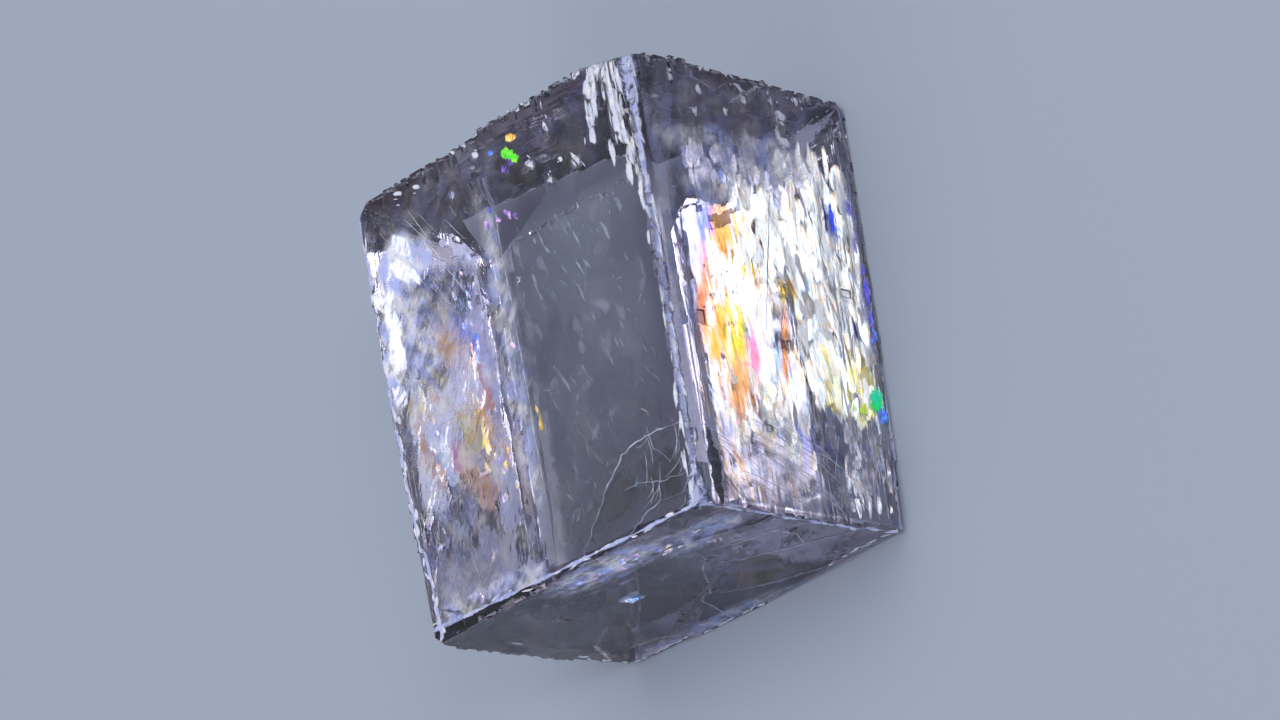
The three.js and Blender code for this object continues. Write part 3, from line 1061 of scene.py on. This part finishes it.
def film_tint(u, v):
    dull = smooth(u + 2 * ripple(u, v, 0.3, 0.9, 11), -6.5, -10.5)
    colour = Vector(WHITE).lerp(DULL_FILM, dull)
    jitter = 0.7 * ripple(u, v, 0.25, 2.1, 7) + 0.5 * ripple(u, v, 0.8, 5, 3)
    for at_u, at_v, half_u, half_v, tint in GLINTS:
        slant = GLINT_SLANT * (u - at_u)
        away = hypot((u - at_u) / half_u, (v - at_v + slant) / half_v) / GLINT_REACH + jitter
        deep = Vector([GLINT_STRENGTH * part ** GLINT_DEPTH for part in tint])
        colour = colour.lerp(deep, 1 - smooth(away, 0.55, 1.45))
    return (*colour, 1)


def rainbow_film():
    """The wavy fracture that hangs just behind the front face."""
    places, cells = grid(*FILM)
    normal = normal_of("front")
    vertices = []
    for u, v in places:
        depth = FILM_DEPTH + FILM_SWAY * ripple(u, v, 0.35, 0.5, 4)
        vertices.append(place_on("front", u, v) - normal * depth)
    tints = [film_tint(u, v) for u, v in places]
    make_piece("rainbow_film", vertices, cells, film_calcite(), soft=True, tint=tints)


HAZE = ((-15.2, -12.2), (8.5, 0.6), 0.5)
BRIGHT_HAZE = Vector((0.78, 0.9, 1))
# The haze's tint goes towards this at the blunt corner: painted shade.
PAINTED_SHADE_HAZE = Vector((0.1, 0.11, 0.13))


def haze(surface):
    """A veil just under the top, from the central edge to the double line, thickest at the blunt corner."""
    low, high, _ = HAZE
    places, cells = grid(*HAZE)
    vertices, covers, tints = [], [], []
    for u, v in places:
        depth = 0.4 + 0.2 * ripple(u, v, 0.3, 0.3, 2)
        vertices.append(surface.on("top", u, v, depth))
        rim = min(u - low[0], high[0] - u, v - low[1], high[1] - v)
        from_corner = u + 0.6 * v
        covers.append((1.2 + 2.8 * smooth(from_corner, -6, -18)) * smooth(rim, 0, 1.5))
        # Darker towards the blunt corner: painted shade.
        tints.append((*PAINTED_SHADE_HAZE.lerp(BRIGHT_HAZE, smooth(from_corner, -20, 0)), 1))
    make_piece("haze", vertices, cells, haze_calcite(), soft=True, cover=covers, tint=tints)


VEIL = ((-9, -12.4), (9, 12), 1)


def smoky_veil():
    """A dimming sheet that hangs just behind the left-hand face: painted shade."""
    places, cells = grid(*VEIL)
    inward = -normal_of("left")
    vertices = []
    for u, v in places:
        depth = 0.9 + 0.2 * ripple(u, v, 0.3, 0.3, 6)
        vertices.append(place_on("left", u, v) + inward * depth)
    make_piece("smoky_veil", vertices, cells, smoky_calcite(), soft=True)


# The plane of the small tilted cracks behind two of the faces, by its normal.
CRACK_PLANES = {
    "front": Vector((0.03, -0.805, 0.593)),
    "left": Vector((-0.587, -0.495, 0.64)),
}
# Where they lie: face, from and to along both of its ways, how many, length, width, and colours.
CRACK_FIELDS = [
    ("front", (-6.5, 11), (-9.2, -2.8), 270, 3.4, 0.9, WHITES),
    ("front", (7.2, 10), (-6, 5.5), 40, 2.2, 0.9, LILACS),
    ("front", (1.8, 8.6), (-3.2, 2.4), 54, 2.8, 1, WHITES),
    ("front", (-12, -6), (-2.5, 5.5), 44, 2.4, 0.8, CREAMS),
    ("front", (-14.2, -6), (-9.2, -4.8), 70, 2, 0.6, SILVERS),
    ("front", (-7.5, -3), (-8.4, -4.2), 46, 2.8, 1.2, YELLOWS),
    ("front", (-3, 9), (-9.5, -9), 34, 2.2, 0.4, [BLUE, VIOLET, (0.6, 0.7, 1)]),
    ("left", (6.4, 8.4), (-5.5, 1.5), 46, 2.4, 0.9, [(0.75, 0.82, 1), SKY, ROSE, (0.9, 0.9, 1)]),
    ("left", (4.8, 7.2), (-12, -5), 40, 2, 0.7, [(0.6, 0.65, 0.9), (0.5, 0.5, 0.7)]),
    ("left", (3.4, 6.4), (-7.5, 2), 22, 2.2, 0.6, [(0.55, 0.6, 0.9), (0.4, 0.4, 0.6), SKY]),
    ("left", (0.4, 1.6), (1.6, 2.8), 8, 1.4, 0.8, [(0.8, 0.9, 1), SKY]),
]
CRACK_DEPTHS = (0.5, 1.2)


def mirror_cracks():
    """Small cracks behind the faces, tilted so that they mirror the light."""
    shards = Shards(33)
    draw = shards.random
    for face, along, up, count, length, width, colours in CRACK_FIELDS:
        for _ in range(count):
            centre = place_on(face, draw.uniform(*along), draw.uniform(*up))
            centre -= normal_of(face) * draw.uniform(*CRACK_DEPTHS)
            plane = (CRACK_PLANES[face] + Vector([draw.gauss(0, 0.035) for _ in range(3)])).normalized()
            way = Matrix.Rotation(draw.gauss(0, 0.12), 3, plane) @ (BACK if face == "left" else ALONG)
            long = length * draw.uniform(0.4, 1.4)
            shards.add(centre, plane, way, long, width * draw.uniform(0.5, 1.4), colours)
    shards.make("mirror_cracks", mirror_calcite())


# Near-black threads of painted shade behind the front face: how far, width, depth, wander, step and the
# places it runs through.
PAINTED_SHADE_GAPS = [
    (0.5, 0.85, 0.5, 0.08, 0.3, [(-10.3, 7.6), (-11.6, 7.55), (-12.9, 7.4), (-14.2, 7.45), (-15.5, 7.35)]),
    (0.3, 0.06, 0.06, 0.02, 0.4, [(7.6, -1.5), (3.4, -0.5), (-2.5, 0.9)]),
    (0.3, 0.3, 0.3, 0.05, 0.4, [(-7.8, -3.2), (-9.4, -3), (-10.8, -2.9)]),
]


# Near-black threads where the stone is in shade: painted shade.
def dark_gaps(surface):
    threads = Threads(3)
    for behind, width, deep, wander, step, places in PAINTED_SHADE_GAPS:
        line = [surface.on("front", u, v, behind) for u, v in places]
        threads.add(line, normal_of("front"), width, deep, wander, step)
    threads.make("dark_gaps", dark_gap())


# -------- on the near faces

# Flashes of interference colour that glow by emission, as painted light: face, place, how far they spread,
# how many, size, turn and colours.
FLASHES = [
    ("top", (13.3, -1.7), (0.08, 0.12), 3, (1.3, 1.3), 20, [GREEN, GREEN, LIME]),
    ("top", (12.8, -2.1), (0.08, 0.15), 2, (0.9, 0.8), 0, [LIME, GREEN]),
    ("top", (14.2, -2.4), (0.05, 0.15), 3, (0.8, 1.4), 0, [AMBER, GOLD]),
    ("top", (12.5, -1.5), (0.15, 0.4), 3, (0.9, 0.6), 0, [VIOLET, DUSK]),
    ("top", (13.9, -0.3), (0.1, 0.2), 2, (0.6, 0.5), 0, [BLUE, SKY]),
    ("top", (12.6, 3.9), (0.2, 0.2), 3, (0.7, 0.5), 0, [SKY, PALE]),
    ("top", (10.3, 0.7), (0.06, 0.06), 2, (0.6, 0.5), 0, [BLUE]),
    ("top", (9.2, -0.9), (0.2, 0.9), 6, (0.8, 0.6), 0, [VIOLET, ROSE, DUSK]),
    ("top", (-5.2, -0.4), (0.5, 0.1), 4, (1.1, 0.4), 0, [BRONZE, GOLD]),
    ("top", (-6.5, 4.6), (0.6, 0.8), 6, (1, 0.5), 0, [GOLD, PALE, CREAM]),
    ("top", (-7.9, 3.4), (0.9, 0.7), 6, (1, 0.5), 0, [GOLD, VIOLET, PALE]),
    # These two, white and pale, stand in for a glow of light: painted highlights.
    ("top", (4.8, 11.4), (1.3, 0.3), 9, (3.4, 1.5), 5, [WHITE, PALE]),
    ("top", (9.8, 10.2), (1.2, 0.8), 6, (3, 1.5), 30, [PALE, WHITE]),
    ("top", (-4.4, 9.4), (1.5, 0.5), 8, (0.9, 0.4), 10, [WHITE, CREAM, PALE]),
    ("top", (4, 3.4), (2.5, 1.8), 14, (0.9, 0.4), 25, [PALE, SKY, ROSE]),
    ("front", (1.6, -9.2), (1.2, 0.12), 8, (1.5, 0.4), 0, [BLUE, VIOLET]),
    ("front", (-1.2, -9.2), (0.7, 0.12), 5, (1.3, 0.4), 0, [BLUE, SKY]),
    ("front", (-6.3, -8.2), (0.3, 0.25), 5, (1.9, 1.3), 0, [TEAL, GREEN, TEAL]),
    ("front", (-6.9, -8.9), (0.3, 0.15), 5, (1.5, 0.9), 0, [SKY, BLUE]),
    ("front", (6.7, -6.9), (0.4, 0.05), 4, (3.4, 0.5), 3, [NAVY, BLUE]),
    ("front", (-6.9, -7), (0.3, 0.4), 3, (1.2, 0.7), 0, [GOLD, LIME]),
    ("left", (5.6, -5.6), (0.3, 1), 8, (0.6, 1), 0, [SKY, GOLD, PALE, VIOLET]),
    ("left", (6.9, -1.8), (0.35, 1.5), 10, (0.6, 1.2), 0, [PALE, SKY, VIOLET, ROSE]),
    ("left", (1, 2.2), (0.25, 0.3), 4, (0.7, 0.9), 0, [SKY, PALE]),
]
FLASH_LIFT = 0.05


def flashes(surface):
    shards = Shards(21)
    draw = shards.random
    for face, (u, v), (spread_u, spread_v), count, (length, width), turn, colours in FLASHES:
        normal = normal_of(face)
        for _ in range(count):
            place = (u + draw.gauss(0, spread_u), v + draw.gauss(0, spread_v))
            centre = surface.on(face, *place, -FLASH_LIFT)
            way = Matrix.Rotation(radians(turn + draw.gauss(0, 8)), 3, normal) @ FACES[face][0]
            size = draw.uniform(0.7, 1.2)
            shards.add(centre, normal, way, length * size, width * size, colours, corners=5)
    shards.make("flashes", flake_calcite())


SMEARS = 70
SMEAR_LIFT = 0.01


def smears(surface):
    """Small faint smears on the top, near the central edge."""
    shards = Shards(45)
    draw = shards.random
    normal = normal_of("top")
    for _ in range(SMEARS):
        centre = surface.on("top", draw.uniform(-13.5, 8.5), draw.uniform(-11.8, 1.5), -SMEAR_LIFT)
        way = Matrix.Rotation(draw.gauss(0.1, 0.5), 3, normal) @ ALONG
        length = draw.uniform(0.3, 2.4)
        cover = draw.uniform(0.05, 0.26)
        shards.add(centre, normal, way, length, length * draw.uniform(0.2, 0.6), [WHITE], cover)
    shards.make("smears", smear_calcite())


# Frosted places: middle, half-lengths both ways, and how thick.
FROST = {
    "top": [
        ((4.5, 9.8), (4.5, 3.2), 0.9), ((10, 9.8), (2, 3.2), 1.5),
        ((4.2, 12.1), (3.6, 0.9), 1.4), ((-0.5, 6.8), (10, 6), 0.4),
        ((-12.5, 6.5), (5.5, 6.8), 0.24), ((0, 1.1), (11.5, 1.1), 0.7),
        ((-15, 7), (1.3, 7), 0.7), ((12.5, 4), (3, 8), 0.13),
        ((12, -6), (3, 5), 0.08),
    ],
    "front": [
        ((12.8, 0), (3, 9), 0.2), ((10, 1), (1.8, 8), 0.75),
        ((7, 4.2), (1.3, 2.6), 0.8), ((-10.8, -2), (4.5, 8), 0.3),
        ((0, 8.6), (14, 1.2), 0.35), ((2, -9), (11, 0.8), 0.4),
    ],
    "left": [
        ((7.4, -2), (1.8, 5), 0.85), ((5.4, -9), (1.8, 4), 0.7),
        ((-8.6, 4), (1.2, 8), 0.4), ((1, -7), (5, 5), 0.12),
    ],
}
FROST_CELL = 0.4
FROST_LIFT = 0.03
FROST_RIM = 0.3  # it stops this far from the face's edges
FROST_LEAST = 0.02  # thinner frost than this is left out

# The three near faces, and half of each one's length along both of its ways.
HALVES = {"top": (LENGTH / 2, WIDTH / 2), "front": (LENGTH / 2, DEPTH / 2), "left": (DEPTH / 2, WIDTH / 2)}


def frost_cover(face, u, v):
    """How thick the frost is at a place of a face."""
    ragged = 0.35 * ripple(u, v, 0.45, 0.8, layer_of(face))
    cover = 0
    for (mid_u, mid_v), (half_u, half_v), thick in FROST[face]:
        away = hypot((u - mid_u) / half_u, (v - mid_v) / half_v) + ragged
        cover = max(cover, thick * (1 - smooth(away, 0.55, 1.25)))
    return cover


def frost(surface):
    """Thin veils that lie on the three near faces."""
    vertices, polygons, covers = [], [], []
    for face, (half_u, half_v) in HALVES.items():
        places, cells = grid((-half_u, -half_v), (half_u, half_v), FROST_CELL)
        numbers = {}
        for k, (u, v) in enumerate(places):
            found = surface.on_stone(face, u, v)
            if found is not None and min(half_u - abs(u), half_v - abs(v)) > FROST_RIM:
                numbers[k] = len(vertices)
                vertices.append(found + normal_of(face) * FROST_LIFT)
                covers.append(frost_cover(face, u, v))
        for cell in cells:
            ring = [numbers.get(k) for k in cell]
            if None not in ring and any(covers[number] > FROST_LEAST for number in ring):
                polygons.append(ring)
    make_piece("frost", vertices, polygons, frost_calcite(), soft=True, cover=covers)


# -------- the pieces

stone = Surface(make_crystal())
bruises(stone)
hairline_cracks(stone)
scratches(stone)
rainbow_film()
haze(stone)
flashes(stone)
mirror_cracks()
smears(stone)
frost(stone)
smoky_veil()
dark_gaps(stone)
